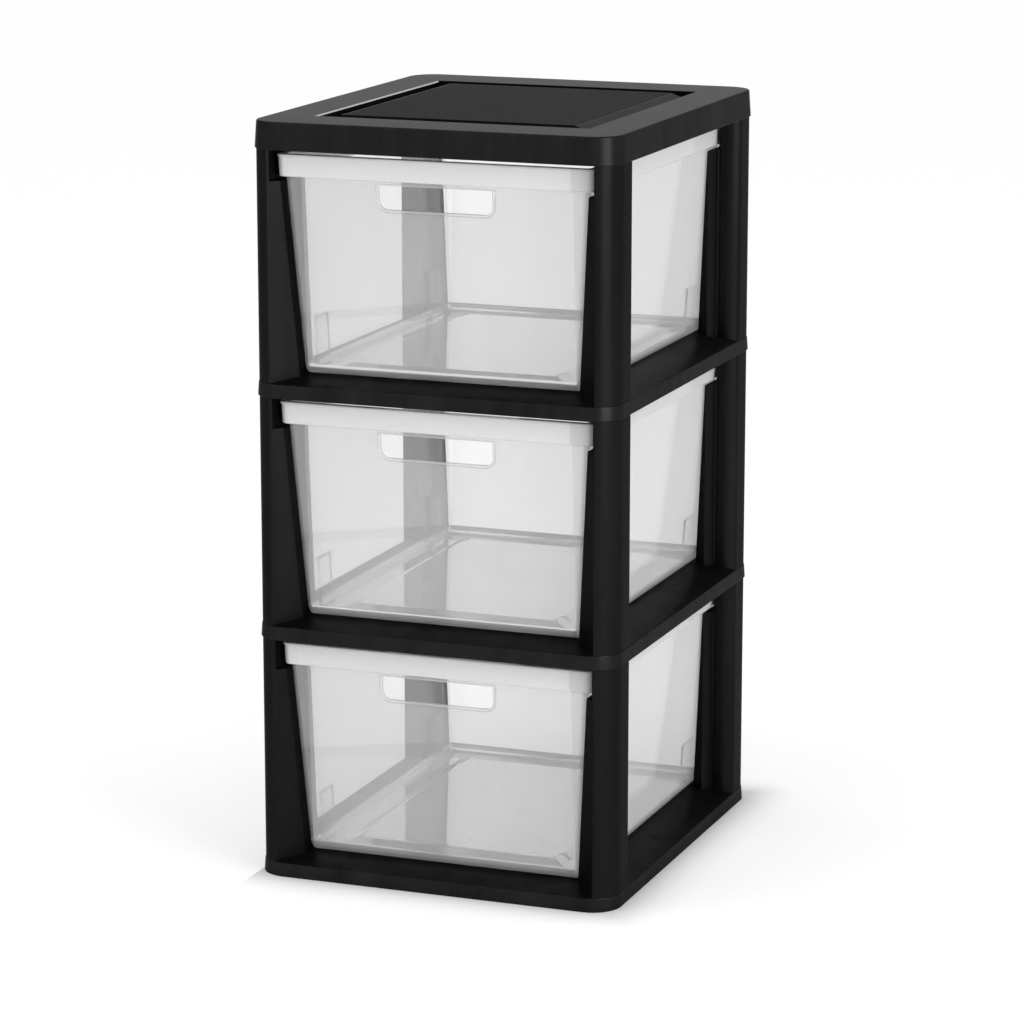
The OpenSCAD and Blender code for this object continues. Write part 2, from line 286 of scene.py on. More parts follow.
def rings(rows, along_x, along_y):
    """Rounded rectangles, one for each row (width, length, corner radius, height), with their
    sides in the order front, right, rear, left. Along a side, a place s runs by arc length:
    straight up to half - r, then round the corner by the angle (s - half + r) / r."""
    rows = np.asarray(rows, float)
    w, d, r, z = (rows[:, i : i + 1] for i in range(4))
    turns = [(1, 0), (0, 1), (-1, 0), (0, -1)]
    halves, others, places = [w / 2, d / 2] * 2, [d / 2, w / 2] * 2, [along_x, along_y] * 2
    sides = []
    for (c, s), half, other, t in zip(turns, halves, others, places):
        reach = t * half_side(half, r)
        bend = np.clip((np.abs(reach) - (half - r)) / r, 0, math.pi / 4)
        along = np.clip(reach, r - half, half - r) + np.sign(reach) * r * np.sin(bend)
        out = other - r + r * np.cos(bend)
        sides.append(np.stack([c * along + s * out, s * along - c * out, z + 0 * along], -1))
    return np.concatenate(sides, 1)


def inset_rows(profile):
    """Rows for rings() round the tower from a profile of (inset, height), or of (inset at the
    sides, inset at the ends, height). The corner radius shrinks with the inset."""
    rows = []
    for a, *b, z in profile:
        rows.append((WIDTH - 2 * a, DEPTH - 2 * (b or [a])[0], max(CORNER_R - a, LEAST_R), z))
    return rows


# ---------------------------------------------------------------- shader helpers


class Socket:
    """A socket of a finish whose arithmetic adds Math nodes."""

    def __init__(self, finish, socket):
        self.finish = finish
        self.socket = socket

    def _math(self, operation, first, second):
        return self.finish.node("ShaderNodeMath", {"operation": operation}, {0: first, 1: second})

    def __add__(self, other):
        return self._math("ADD", self, other)

    def __radd__(self, other):
        return self._math("ADD", other, self)

    def __sub__(self, other):
        return self._math("SUBTRACT", self, other)

    def __rsub__(self, other):
        return self._math("SUBTRACT", other, self)

    def __mul__(self, other):
        return self._math("MULTIPLY", self, other)

    def __rmul__(self, other):
        return self._math("MULTIPLY", other, self)

    def __mod__(self, other):
        return self._math("MODULO", self, other)

    def __pow__(self, other):
        return self._math("POWER", self, other)

    def __lt__(self, other):
        return self._math("LESS_THAN", self, other)

    def __gt__(self, other):
        return self._math("GREATER_THAN", self, other)

    def __abs__(self):
        return self._math("ABSOLUTE", self, 0.0)

    def at_least(self, other):
        """The greater of two values."""
        return self._math("MAXIMUM", self, other)


class Finish:
    """The nodes of a material or world, and the calls that add them."""

    def __init__(self, owner):
        self.owner = owner
        owner.use_nodes = True
        self.tree = owner.node_tree
        self.tree.nodes.clear()

    def node(self, kind, settings=None, values=None, output=0):
        """Adds a node, sets its settings, fills its sockets and returns one output."""
        made = self.tree.nodes.new(kind)
        for key, value in (settings or {}).items():
            setattr(made, key, value)
        for key, value in (values or {}).items():
            if isinstance(value, Socket):
                self.tree.links.new(value.socket, made.inputs[key])
            else:
                made.inputs[key].default_value = value
        return Socket(self, made.outputs[output])

    def place(self):
        """Object coordinates in metres, as a vector and as three values."""
        vector = self.node("ShaderNodeTexCoord", output="Object")
        split = self.tree.nodes.new("ShaderNodeSeparateXYZ")
        self.tree.links.new(vector.socket, split.inputs[0])
        return vector, *(Socket(self, split.outputs[i]) for i in range(3))

    def noise(self, place, scale, detail=2.0, roughness=0.5):
        """Noise from 0 to 1; scale is in cells a metre."""
        values = {"Vector": place, "Scale": scale, "Detail": detail, "Roughness": roughness}
        return self.node("ShaderNodeTexNoise", values=values)

    def bump(self, height, strength, distance):
        """Normal that a height in units of distance gives."""
        values = {"Height": height, "Strength": strength, "Distance": distance}
        return self.node("ShaderNodeBump", values=values)

    def facing(self, values=None):
        """0 where the surface is seen square on, 1 where it is seen along itself."""
        return self.node("ShaderNodeLayerWeight", values={"Blend": 0.5, **(values or {})}, output=1)

    def blend(self, share, low, high):
        """Colour between two, by a share from 0 to 1."""
        settings = {"data_type": "RGBA", "clamp_factor": True}
        return self.node("ShaderNodeMix", settings, {0: share, 6: low, 7: high}, output=2)

    def matt(self, tone, roughness):
        """Solid plastic without any reflection."""
        values = {"Base Color": tone, "Roughness": roughness, "Specular IOR Level": 0.0}
        return self.node("ShaderNodeBsdfPrincipled", values=values)

    def mirror(self, tone, roughness, normal):
        """The reflection alone."""
        values = {"Base Color": tone, "Metallic": 1.0, "Roughness": roughness, "Normal": normal}
        return self.node("ShaderNodeBsdfPrincipled", values=values)

    def cover_with(self, share, under, over):
        """One shader over another, by a share from 0 to 1."""
        return self.node("ShaderNodeMixShader", values={0: share, 1: under, 2: over})

    def finish(self, shader, output="ShaderNodeOutputMaterial"):
        """Leads the shader to the output and returns the material or world."""
        out = self.tree.nodes.new(output)
        self.tree.links.new(shader.socket, out.inputs["Surface"])
        return self.owner


def grey(level):
    """A grey as a colour."""
    return (level, level, level, 1)


def within(value, low, high):
    """1 where a coordinate lies between two places in millimetres, elsewhere 0."""
    return (value > low * MM) * (value < high * MM)


# ---------------------------------------------------------------- materials

GRAIN_SCALE = 1400.0
FLOW_SCALE = (34.0, 34.0, 4.0)  # streaks eight times as long as wide, up the walls
RIPPLE_SCALE = 14.0
LAP = 0.3  # how far the slots' painted-shade mask reaches past their edges
SLOT_SKIN = 0.4  # what that mask leaves free at the top
SHY = 0.5  # how far a mask reaches under a floor, or stops short of an end
HAIR = 0.05  # how closely the chamfer's painted-highlight mask fits it

# Black plastic: its sheen is the share of reflection in it
DARK, LESS_DARK = (0.002, 0.002, 0.002, 1), (0.006, 0.006, 0.0061, 1)
REFLECTION = (0.95, 0.95, 0.96, 1)
ROUGH, ROUGH_FLOW, ROUGH_GRAIN, ROUGH_PANEL = 0.22, 0.08, 0.06, 0.22
SHEEN = 0.005
SHEEN_FLOW = 0.016
SHEEN_ALONG = 0.25
SHEEN_POWER = 8.0
PANEL_DULL = 0.65
# extra reflection on the recess's left chamfer only: a painted highlight
CHAMFER_HIGHLIGHT = 0.45

# Clear plastic: haze is the share of solid plastic in a wall, milk the share of soft light that
# comes through it. Each region adds its own to those of a plain wall. The rear, side and right
# entries are painted light and shade: a clearer rear wall shows darker as if unlit from behind, and
# a hazier right wall shows lighter as if lit.
WALL_HAZE, WALL_MILK = 0.12, 0.14
REGION_HAZE = {"floor": 0.05, "rim": 0.58, "rear": -0.11, "side": -0.07, "right": 0.24}
REGION_MILK = {"floor": 0.30, "rim": 0.12, "rear": -0.10, "side": -0.07}
FROST_HAZE, PAINTED_DARK_HAZE, RIPPLE_HAZE = 0.35, 0.40, 0.02
# Painted shade: grey on the side walls, a little less on the right one, and on the rim, a little
# all round and most on its right side
SIDE_PAINTED_SHADE, RIGHT_PAINTED_SHADE = 0.40, -0.08
RIM_PAINTED_SHADE, RIM_RIGHT_PAINTED_SHADE = 0.03, 0.22
PALE, GREY = 0.93, 0.20  # the solid plastic without and with painted dark
CLEAR_LEVEL, SOFT_LEVEL, MIRROR_LEVEL = 0.976, 0.935, 0.97
SQUARE_GLOSS = 0.04  # reflection where it is seen square on
FLOOR_GLOSS = 0.34
# the right wall reflects less than the others: painted light, set to how that wall is lit
RIGHT_DULL = 0.65


def black_plastic(name, shine_level):
    """Satin black moulding with a fine grain and flow streaks up its walls. A mirror covers a matt
    black by the sheen, which is a base, plus some of the flow, plus some of facing^8, so that it
    rises steeply where the surface is seen along itself. The cover's panel is duller. Its slots get
    no reflection at all, a painted shade in them, and the left chamfer of its recess gets extra
    reflection, a painted highlight."""
    m = Finish(bpy.data.materials.new(name))
    place, x, y, z = m.place()
    grain = m.noise(place, GRAIN_SCALE, 3.0)
    stretch = {0: place, 1: FLOW_SCALE}
    streaks = m.node("ShaderNodeVectorMath", {"operation": "MULTIPLY"}, stretch)
    flow = m.noise(streaks, 1.0, 4.0, 0.6)

    on_panel = (abs(x) < PANEL_X * MM) * (abs(y) < PANEL_Y * MM) * (z > (HEIGHT - 1) * MM)
    # painted shade: the cover's slots lose all their reflection, so they show black
    slot_shade = within(abs(y), PANEL_Y + LAP, RECESS_Y + LAP) * (abs(x) < (RECESS_X + LAP) * MM)
    slot_shade = slot_shade * within(z, HEIGHT - SLOT_H - SHY, HEIGHT - SLOT_SKIN)
    # painted highlight: a bright line along the left chamfer of the recess, none on the right
    chamfer_highlight = within(x, HAIR - RECESS_X, HAIR - RECESS_X + CHAMFER)
    chamfer_highlight = chamfer_highlight * (abs(y) < (RECESS_Y - SHY) * MM)
    chamfer_highlight = chamfer_highlight * (z > (HEIGHT - CHAMFER - HAIR) * MM)

    along = m.facing() ** SHEEN_POWER
    sheen = (SHEEN + SHEEN_FLOW * flow + SHEEN_ALONG * along) * (1 - PANEL_DULL * on_panel)
    sheen = (sheen * (1 - slot_shade) + CHAMFER_HIGHLIGHT * chamfer_highlight) * shine_level
    tone = m.blend(flow * 0.6 + grain * 0.2, DARK, LESS_DARK)
    roughness = ROUGH + ROUGH_FLOW * flow + ROUGH_GRAIN * grain + ROUGH_PANEL * on_panel
    normal = m.bump(grain + flow * 2.0, 0.10, 0.4 * MM)
    mirror = m.mirror(REFLECTION, roughness, normal)
    return m.finish(m.cover_with(sheen, m.matt(tone, 0.6), mirror))


def clear_plastic():
    """Milky clear moulding. A wall is a clear sheet, covered by solid plastic by its haze, then by
    soft light from behind by its milk, then by a mirror by its gloss. Gloss follows f + (1 - f)
    facing^5, with more on the floor and less on the right wall, the latter a painted change set to
    how that wall is lit. Frost adds haze. Painted dark adds haze and darkens the solid plastic as
    painted shade. The side walls are darkened by painted shade too, and a little the rim. The rear
    wall is made clearer and the right wall hazier, painted light for how each is lit."""
    m = Finish(bpy.data.materials.new("clear_plastic"))
    place, x, y, z = m.place()
    tier_z = z % (TIER_PITCH * MM)
    wall_x = (TUB_W / 2 - 2 * TUB_T) * MM
    on = {
        "floor": tier_z < (FLOOR_Z + 8.0) * MM,
        "rim": tier_z > (FLOOR_Z + RIM_FOOT - 0.4) * MM,
        "rear": y > (TUB_D / 2 - 2 * TUB_T) * MM,
        "side": abs(x) > wall_x,
        "right": x > wall_x,
    }
    frost, painted_dark = (
        m.node("ShaderNodeAttribute", {"attribute_name": tone}, output="Fac")
        for tone in ("frost", "painted_dark")
    )
    ripple = m.noise(place, RIPPLE_SCALE, 2.0)
    # the rear, side and right shares of haze and milk are painted light and shade
    haze = sum((share * on[region] for region, share in REGION_HAZE.items()), WALL_HAZE)
    haze = haze + RIPPLE_HAZE * ripple + FROST_HAZE * frost + PAINTED_DARK_HAZE * painted_dark
    milk = sum((share * on[region] for region, share in REGION_MILK.items()), WALL_MILK)
    # painted shade that greys the side walls and the rim
    wall_painted_shade = (SIDE_PAINTED_SHADE * on["side"] + RIGHT_PAINTED_SHADE * on["right"]) * (1 - on["rim"])
    rim_painted_shade = (RIM_PAINTED_SHADE + RIM_RIGHT_PAINTED_SHADE * on["right"]) * on["rim"]
    tone = m.blend(painted_dark + wall_painted_shade + rim_painted_shade, grey(PALE), grey(GREY))

    normal = m.bump(ripple, 0.10, MM)
    facing = m.facing({"Normal": normal})
    gloss = SQUARE_GLOSS + (1 - SQUARE_GLOSS) * facing**5.0 + FLOOR_GLOSS * on["floor"]
    gloss = gloss * (1 - RIGHT_DULL * on["right"])
    clear = m.node("ShaderNodeBsdfTransparent", values={"Color": grey(CLEAR_LEVEL)})
    soft = m.node("ShaderNodeBsdfTranslucent", values={"Color": grey(SOFT_LEVEL)})
    wall = m.cover_with(milk, m.cover_with(haze, clear, m.matt(tone, 0.5)), soft)
    mirror = m.mirror(grey(MIRROR_LEVEL), 0.02 + 0.03 * ripple, normal)
    return m.finish(m.cover_with(gloss, wall, mirror))


BLACK = black_plastic("black_plastic", 1.05)
# The posts' copy of the black reflects less: a painted shade that makes them darker than the
# frames.
SHADED_POST_BLACK = black_plastic("black_plastic_post_shaded", 0.65)
CLEAR = clear_plastic()

# ---------------------------------------------------------------- frames


def frame_ring(name, base_z):
    """Base or shelf. Its profile, carried round the tower, is a flared lip, a deck that rises
    inward to a level band, and an open middle. Underneath it runs back one wall lower, and down
    to the lip's foot at the corner blocks. The last row meets the first."""
    open_w = WIDTH - 2 * SIDE_MEMBER
    open_d = DEPTH - 2 * END_MEMBER
    rows = inset_rows([(SHELL, 0.0), (EASE, 0.0), (0.0, EASE)])
    rows += inset_rows([(LIP_FLARE + inset, LIP_H + z) for inset, z in LIP_EASE])
    rows += inset_rows([(DECK_RUN, DECK_Z)])
    for out, drop in OPENING_EASE:
        rows.append((open_w + 2 * out, open_d + 2 * out, OPENING_R + out, DECK_Z - drop))
    top_rows = len(rows)
    rows.append((open_w, open_d, OPENING_R, DECK_Z - SHELL))
    foot = LIP_H - SHELL
    rows += inset_rows([(DECK_RUN + 1, DECK_Z - SHELL), (DECK_RUN, foot), (SHELL, foot)])

    along, in_block = [], []
    for half, block in ((WIDTH / 2, BLOCK_SIDE), (DEPTH / 2, BLOCK_END)):
        wall = half - block
        places = stations(half, CORNER_R, [wall - BLOCK_WALL, wall + BLOCK_WALL])
        along.append(places)
        in_block.append(np.abs(places) * half_side(half, CORNER_R) > wall)
    grid = rings(rows, *along)
    under = np.arange(len(rows))[:, None] >= top_rows
    grid[..., 2] = np.where(under & np.concatenate(in_block * 2), 0.0, grid[..., 2])
    grid = np.concatenate([grid, grid[:1]])
    skin = Skin()
    skin.grid(grid + [0, 0, base_z])
    return skin.piece(name, BLACK, "cabinet", "black_plastic")


# ---------------------------------------------------------------- posts


def rounded_outline(corners, radii, steps=3):
    """Closed outlines (rows x corners x 2) whose corners become quadratic curves that start and
    end at the given distance from the corner, or at 0.45 of a side that is too short."""
    before = np.roll(corners, 1, 1) - corners
    after = np.roll(corners, -1, 1) - corners
    length_before = np.linalg.norm(before, axis=2, keepdims=True)
    length_after = np.linalg.norm(after, axis=2, keepdims=True)
    reach = np.asarray(radii)[None, :, None]
    start = corners + before / length_before * np.minimum(reach, length_before * 0.45)
    end = corners + after / length_after * np.minimum(reach, length_after * 0.45)
    t = np.linspace(0, 1, steps + 1)[None, None, :, None]
    start, middle, end = (points[:, :, None] for points in (start, corners, end))
    curve = (1 - t) ** 2 * start + 2 * t * (1 - t) * middle + t**2 * end
    return curve.reshape(len(corners), -1, 2)


def arc(centre, r, first, last, count):
    """Points on a circle between two angles in degrees."""
    turn = np.radians(np.linspace(first, last, count))
    return np.asarray(centre) + r * np.stack([np.cos(turn), np.sin(turn)], -1)


def bearing(point, centre):
    """Angle in degrees of a point seen from a centre."""
    return math.degrees(math.atan2(point[1] - centre[1], point[0] - centre[0]))


def post_plan(z, web):
    """Outlines of a post at heights z: a round outer corner, a crease, a web whose inner face
    leans with the drawer's side, and a round back. web runs from 0, the column alone, to 1, the
    full web, and its corners move straight between the two."""
    z = np.asarray(z, float)
    web = np.asarray(web, float)[:, None]
    crease = np.array([[CREASE_A, CREASE_B]])
    middle = (CORNER_R, CORNER_R)
    outer = arc(middle, POST_R, 180, bearing(crease[0], middle) + 360, 9)[:-1]

    inner_a = WIDTH / 2 - TUB_W / 2 - TUB_LEAN * (z - FLOOR_Z) - WEB_GAP
    front_b = CREASE_B + WEB_LEAN * (inner_a - CREASE_A)
    slope = (WEB_HEEL[1] - WEB_KNEE[1]) / (WEB_HEEL[0] - WEB_KNEE[0])
    rear_b = WEB_KNEE[1] + slope * (inner_a - WEB_KNEE[0])
    full = [np.stack([inner_a, front_b], -1), np.stack([inner_a, rear_b], -1), WEB_KNEE]
    column_b = CREASE_B + WEB_LEAN * (COLUMN_IN - CREASE_A)
    bare = [np.array([COLUMN_IN, b]) for b in (column_b, *COLUMN_BACK)]
    moving = np.stack([b * (1 - web) + f * web for f, b in zip(full, bare)], 1)

    back_b = BACK_CENTRE[1] + math.sqrt(BACK_R**2 - (COLUMN_IN - BACK_CENTRE[0]) ** 2)
    ends = [bearing(point, BACK_CENTRE) for point in ((COLUMN_IN, back_b), (POST_INSET, STRIP_END))]
    back = arc(BACK_CENTRE, BACK_R, *ends, 8)
    outer, crease, back = (
        np.broadcast_to(points, (len(z), *points.shape)) for points in (outer, crease, back)
    )
    radii = [2.0] * outer.shape[1] + [0.9, 0.9, 0.9, 1.2, 0.8]
    radii += [1.5] * (back.shape[1] - 2) + [0.9]
    return rounded_outline(np.concatenate([outer, crease, moving, back], 1), radii)


def post(name, tier, left, front):
    """One corner post: its plan is carried up the tier, with a ledge where the web ends and a
    peg at both ends."""
    ledge_z, ledge_web = np.array(LEDGE_ROWS).T
    lift = np.linspace(LIP_H, LEDGE_Z - 1.0, WEB_ROWS)
    z = np.concatenate([[LIP_H], lift, LEDGE_Z + ledge_z, [TIER_PITCH] * 2])
    plan = post_plan(z, np.concatenate([[1.0], np.ones(WEB_ROWS), ledge_web, [0.0] * 2]))
    peg = np.clip(plan, PEG_LOW, PEG_HIGH)
    plan = np.concatenate([peg[:1], peg[:1], plan[1:-1], peg[-1:], peg[-1:]])
    z = np.concatenate([[LIP_H - PEG_H, LIP_H], z[1:-1], [TIER_PITCH, TIER_PITCH + PEG_H]])
    side = -1 if left else 1
    end = -1 if front else 1
    x = side * (WIDTH / 2 - plan[..., 0])
    y = end * (DEPTH / 2 - plan[..., 1])
    skin = Skin()
    index = skin.grid(np.stack([x, y, (z + TIER_Z[tier])[:, None] + 0 * x], -1))
    skin.cap(index[0])
    skin.cap(index[-1])
    return skin.piece(name, SHADED_POST_BLACK, "cabinet", "black_plastic", crease=28)


# ---------------------------------------------------------------- cover


def mirrored(*lines):
    """Lines from the middle out in rising order, and their mirror images."""
    lines = np.unique(np.round(np.concatenate(lines), 3))
    return np.concatenate([-lines[:0:-1], lines])


def cover():
    """Cover: a flared skirt, a level border, and a recess whose depth is that of a slot near
    each end, and else grows from 0 at the panel to the flank's drop at each side, where a
    chamfer of 45 degrees ends it. The underside follows one wall lower."""
    corner_x, corner_y = (
        np.linspace((half - CORNER_R) / half_side(half, CORNER_R), 1, CORNER_STEPS) * recess
        for half, recess in ((WIDTH / 2, RECESS_X), (DEPTH / 2, RECESS_Y))
    )
    lines_x = mirrored(
        corner_x,
        RECESS_X - np.array([0.0, CHAMFER, CHAMFER + 0.25]),
        PANEL_X + np.array([0.8, 0.0, -0.6]),
        np.linspace(0, PANEL_X - 1, 6),
    )
    lines_y = mirrored(
        corner_y,
        RECESS_Y - SLOT_EDGE,
        PANEL_Y + np.array([0.9, 0.25, 0.0, -0.6]),
        PANEL_Y - SHELL - SLOT_EDGE[:2],
        np.linspace(0, PANEL_Y - 8, 7),
    )
    x, y = np.meshgrid(lines_x, lines_y)
    in_x = RECESS_X - np.abs(x)
    in_y = RECESS_Y - np.abs(y)
    slope = np.clip((FLANK_RUN - in_x) / FLANK_RUN, 0, 1)
    drop = FLANK_DROP * slope + PANEL_EASE * (np.abs(in_x - FLANK_RUN) < 0.7) * (slope <= 0)
    drop = np.where(in_y < SLOT_W - 0.1, SLOT_H, drop)
    drop = np.where(in_x < CHAMFER + 0.1, np.minimum(drop, in_x), drop)
    drop = np.where((in_x > 0.01) & (in_y > 0.01), drop, 0.0)
    over_panel = (np.abs(x) < PANEL_X) & (np.abs(y) < PANEL_Y - SHELL - 0.1)
    under = np.where(over_panel, SHELL, SLOT_H + SHELL)
    wide_x, wide_y = RECESS_X + SHELL, RECESS_Y + SHELL

    skin = Skin()
    skin.grid(np.stack([x, y, HEIGHT - drop], -1), wrap=False)
    below = [x * wide_x / RECESS_X, y * wide_y / RECESS_Y, HEIGHT - under]
    skin.grid(np.stack(below, -1), wrap=False)

    square = 1e-4  # corner radius of the recess
    rows = [(2 * RECESS_X, 2 * RECESS_Y, square, HEIGHT)]
    rim = [(1.6, 0.0), (0.9, 0.15), (0.3, 0.6), (0.0, 1.4)]
    rows += inset_rows([(COVER_FLARE + inset, HEIGHT - z) for inset, z in rim])
    rows += inset_rows([(0.0, COVER_Z + 0.5), (EASE, COVER_Z), (SHELL, COVER_Z)])
    visible = len(rows)
    inner = (BORDER_SIDE - SHELL - 1, BORDER_END - SHELL - 1)
    rows += inset_rows([(SHELL, HEIGHT - SHELL), (*inner, HEIGHT - SHELL)])
    for z in (HEIGHT - SHELL, HEIGHT - SLOT_H - SHELL):
        rows.append((2 * wide_x, 2 * wide_y, square, z))
    grid = rings(rows, lines_x[:-1] / RECESS_X, lines_y[:-1] / RECESS_Y)
    block_x, block_y = COVER_BLOCK
    block = np.abs(grid[..., 0]) > WIDTH / 2 - block_x
    block = block & (np.abs(grid[..., 1]) > DEPTH / 2 - block_y)
    hidden = np.arange(len(rows))[:, None] >= visible
    grid[..., 2] = np.where(block & hidden, COVER_Z, grid[..., 2])
    skin.grid(grid)
    return skin.piece("top_cover", BLACK, "cabinet", "black_plastic")


# ---------------------------------------------------------------- drawers


def tub(z, inset):
    """Row of the leaning tub at height z above its foot, drawn inward by inset."""
    grow = 2 * TUB_LEAN * z - 2 * inset
    return (TUB_W + grow, TUB_D + grow, TUB_R - inset, z)


def foot_rows(inset, r, floor_z):
    """Rows of a rounded foot: inset r (1 - sin), height r (1 - cos) over a quarter turn."""
    turn = np.linspace(0, math.pi / 2, FOOT_STEPS)
    turns = zip(np.sin(turn), np.cos(turn))
    return [(*tub(0, inset + r * (1 - s))[:3], floor_z + r * (1 - c)) for s, c in turns]


def plateau(grow_x, grow_y, r, z):
    """Row round the raised floor, grown from its foot's outline."""
    return (TUB_W - 2 * PLATEAU_IN + grow_x, TUB_D - 2 * PLATEAU_IN + grow_y, r, z)


def drawer_rows():
    """Rows of a drawer's skin, from the underside up the outside, over the rim and down the
    inside to the raised floor, and the numbers of the first outer, rim, inner and floor row."""
    run = 2 * PLATEAU_RUN
    rows = [plateau(-run, -run, PLATEAU_R, PLATEAU_H), plateau(0, 0, PLATEAU_R, 0.0)]
    rows += foot_rows(0.0, FOOT_R, 0.0)
    outer = len(rows)
    rows += [tub(z, 0.0) for z in (*WALL_Z, TUB_H - TUB_T - 0.8)]
    rim = len(rows)
    profile = [
        (FLANGE + TUB_T, TUB_H - TUB_T),
        (RIM_DRAFT + TUB_T, RIM_FOOT + 0.3),
        (RIM_DRAFT + TUB_T - 0.3, RIM_FOOT),
        (RIM_DRAFT + 0.4, RIM_FOOT),
        (RIM_DRAFT, RIM_FOOT + 0.5),
        (FLANGE, RIM_TOP - FLANGE_H - 0.3),
        (0.3, RIM_TOP - FLANGE_H),
        (0.0, RIM_TOP - FLANGE_H + 0.4),
        (0.0, RIM_TOP - 0.9),
        (0.3, RIM_TOP - 0.3),
        (1.0, RIM_TOP),
    ]
    rows += [(RIM_W - 2 * g, RIM_D - 2 * g, TUB_R + TUB_T - g, z) for g, z in profile]
    rows += [(*tub(TUB_H, TUB_T - 0.5)[:3], RIM_TOP), (*tub(TUB_H, TUB_T)[:3], RIM_TOP - 0.5)]
    inner = len(rows)
    rows += [tub(z, TUB_T) for z in WALL_Z[::-1]]
    rows += foot_rows(TUB_T, FOOT_R - 1.0, TUB_T)[::-1]
    floor_row = len(rows)
    rows += [plateau(2, 2, 1.8, TUB_T), plateau(0, 0, PLATEAU_R, TUB_T)]
    edge = [(-1, -1, 1 - 1 / PLATEAU_RUN), (0, 0, 1), (1.0, 3.0, 1), (1.5, 5.0, 1)]
    for g, h, rise in edge:
        height = TUB_T + PLATEAU_H * rise
        rows.append(plateau(-run - 2 * g, -run - 2 * h, PLATEAU_R, height))
    return rows, outer, rim, inner, floor_row


def drawer_tones(shape, firsts, along_x, along_y, lug, lug_edge):
    """Frost and painted dark of a drawer's points. The feet and the edge of the raised floor carry
    painted dark, most in front: painted shade, and the black frame painted as it would show through
    them; rims, upright corners, lugs and the floor's edge carry frost; lugs have a painted dark
    outline, and the rear wall a painted dark line above its foot."""
    outer, rim, inner, floor_row = firsts
    counts = [len(along_x), len(along_y)] * 2

    def by_side(values):
        return np.repeat(values, counts)

    frost = np.zeros(shape)
    painted_dark = np.zeros(shape)
    inner_foot = slice(floor_row - FOOT_STEPS, floor_row)
    painted_dark[outer - FOOT_STEPS : outer] = by_side(FOOT_PAINTED_DARK)
    painted_dark[inner_foot] = by_side(FOOT_PAINTED_DARK)
    frost[inner_foot] = by_side(FOOT_FROST)
    painted_dark[floor_row] = by_side(PLATEAU_FOOT_PAINTED_DARK)
    frost[floor_row + 1 : floor_row + 3] = PLATEAU_SLOPE_FROST
    painted_dark[floor_row + 3 : floor_row + 5] = PLATEAU_EDGE_PAINTED_DARK
    frost[rim + 2 : rim + 12] = RIM_FROST

    sides = [(along_x, TUB_W / 2), (along_y, TUB_D / 2)] * 2
    past = [np.abs(t) * half_side(half, TUB_R) - (half - TUB_R) for t, half in sides]
    turned = np.concatenate(past) / (TUB_R * math.pi / 4)
    round_corner = np.clip(turned * UPRIGHT_SPREAD, 0, 1)
    row = np.arange(shape[0])[:, None]
    upright = (row >= outer) & (row < inner + len(WALL_Z))
    frost = np.maximum(frost, UPRIGHT_FROST * round_corner * upright)
    frost = np.maximum(frost, LUG_FROST * lug)
    painted_dark = np.maximum(painted_dark, LUG_PAINTED_DARK * lug_edge)
    lowest = inner + len(WALL_Z) - 1
    for line in (outer, outer + 1, lowest - 1, lowest):
        painted_dark[line] = np.maximum(painted_dark[line], by_side(REAR_PAINTED_DARK))
    return np.stack([frost, painted_dark], -1)


def grip_outline(share, grow):
    """Places (x, z) round the finger opening, grown by grow. share runs 0 to 1 down the left
    side, along the bottom and up the right one, with round lower corners."""
    r = GRIP_R + grow
    half = GRIP_W / 2 + grow
    top = GRIP_TOP + 0.5 * grow
    foot = GRIP_TOP - GRIP_H - grow
    upright = top - foot - r
    bend = r * math.pi / 2
    length = 2 * upright + 2 * bend + 2 * (half - r)
    s = share * length
    left_turn = np.clip((s - upright) / r, 0, math.pi / 2)
    right_turn = np.clip((s - upright - bend - 2 * (half - r)) / r, 0, math.pi / 2)
    across = np.clip(s - upright - bend, 0, 2 * (half - r))
    down = np.clip(s, 0, upright)
    up = np.clip(s - (length - upright), 0, upright)
    x = -half + r * (1 - np.cos(left_turn)) + across + r * np.sin(right_turn)
    z = top - down - r * np.sin(left_turn) + r * (1 - np.cos(right_turn)) + up
    return x, z


def grip_bridge(down, bottom, up, top, wall_y, rise):
    """Loops from the border of the patch, given as its four sides, in to the finger opening,
    on the wall face at wall_y plus the tub's lean, which a bead lifts by rise."""
    low, high = GRIP_UPRIGHT, 1 - GRIP_UPRIGHT
    share = np.concatenate(
        [
            np.linspace(0, low, len(down)),
            np.linspace(low, high, len(bottom) + 2)[1:-1],
            np.linspace(high, 1, len(up)),
        ]
    )
    loops = [np.concatenate([down, bottom, up, top])]
    for grow, lift, *_ in BEAD_ROWS:
        x, z = grip_outline(share, grow)
        x = np.concatenate([x, np.linspace(x[-1], x[0], len(top) + 2)[1:-1]])
        z = np.concatenate([z, np.full(len(top), z[0])])
        below_top = np.clip((GRIP_TOP + 0.2 - z) / BEAD_FADE, 0, 1)
        y = wall_y - TUB_LEAN * z - rise * lift * below_top
        loops.append(np.stack([x, y, z], -1))
    return np.stack(loops)


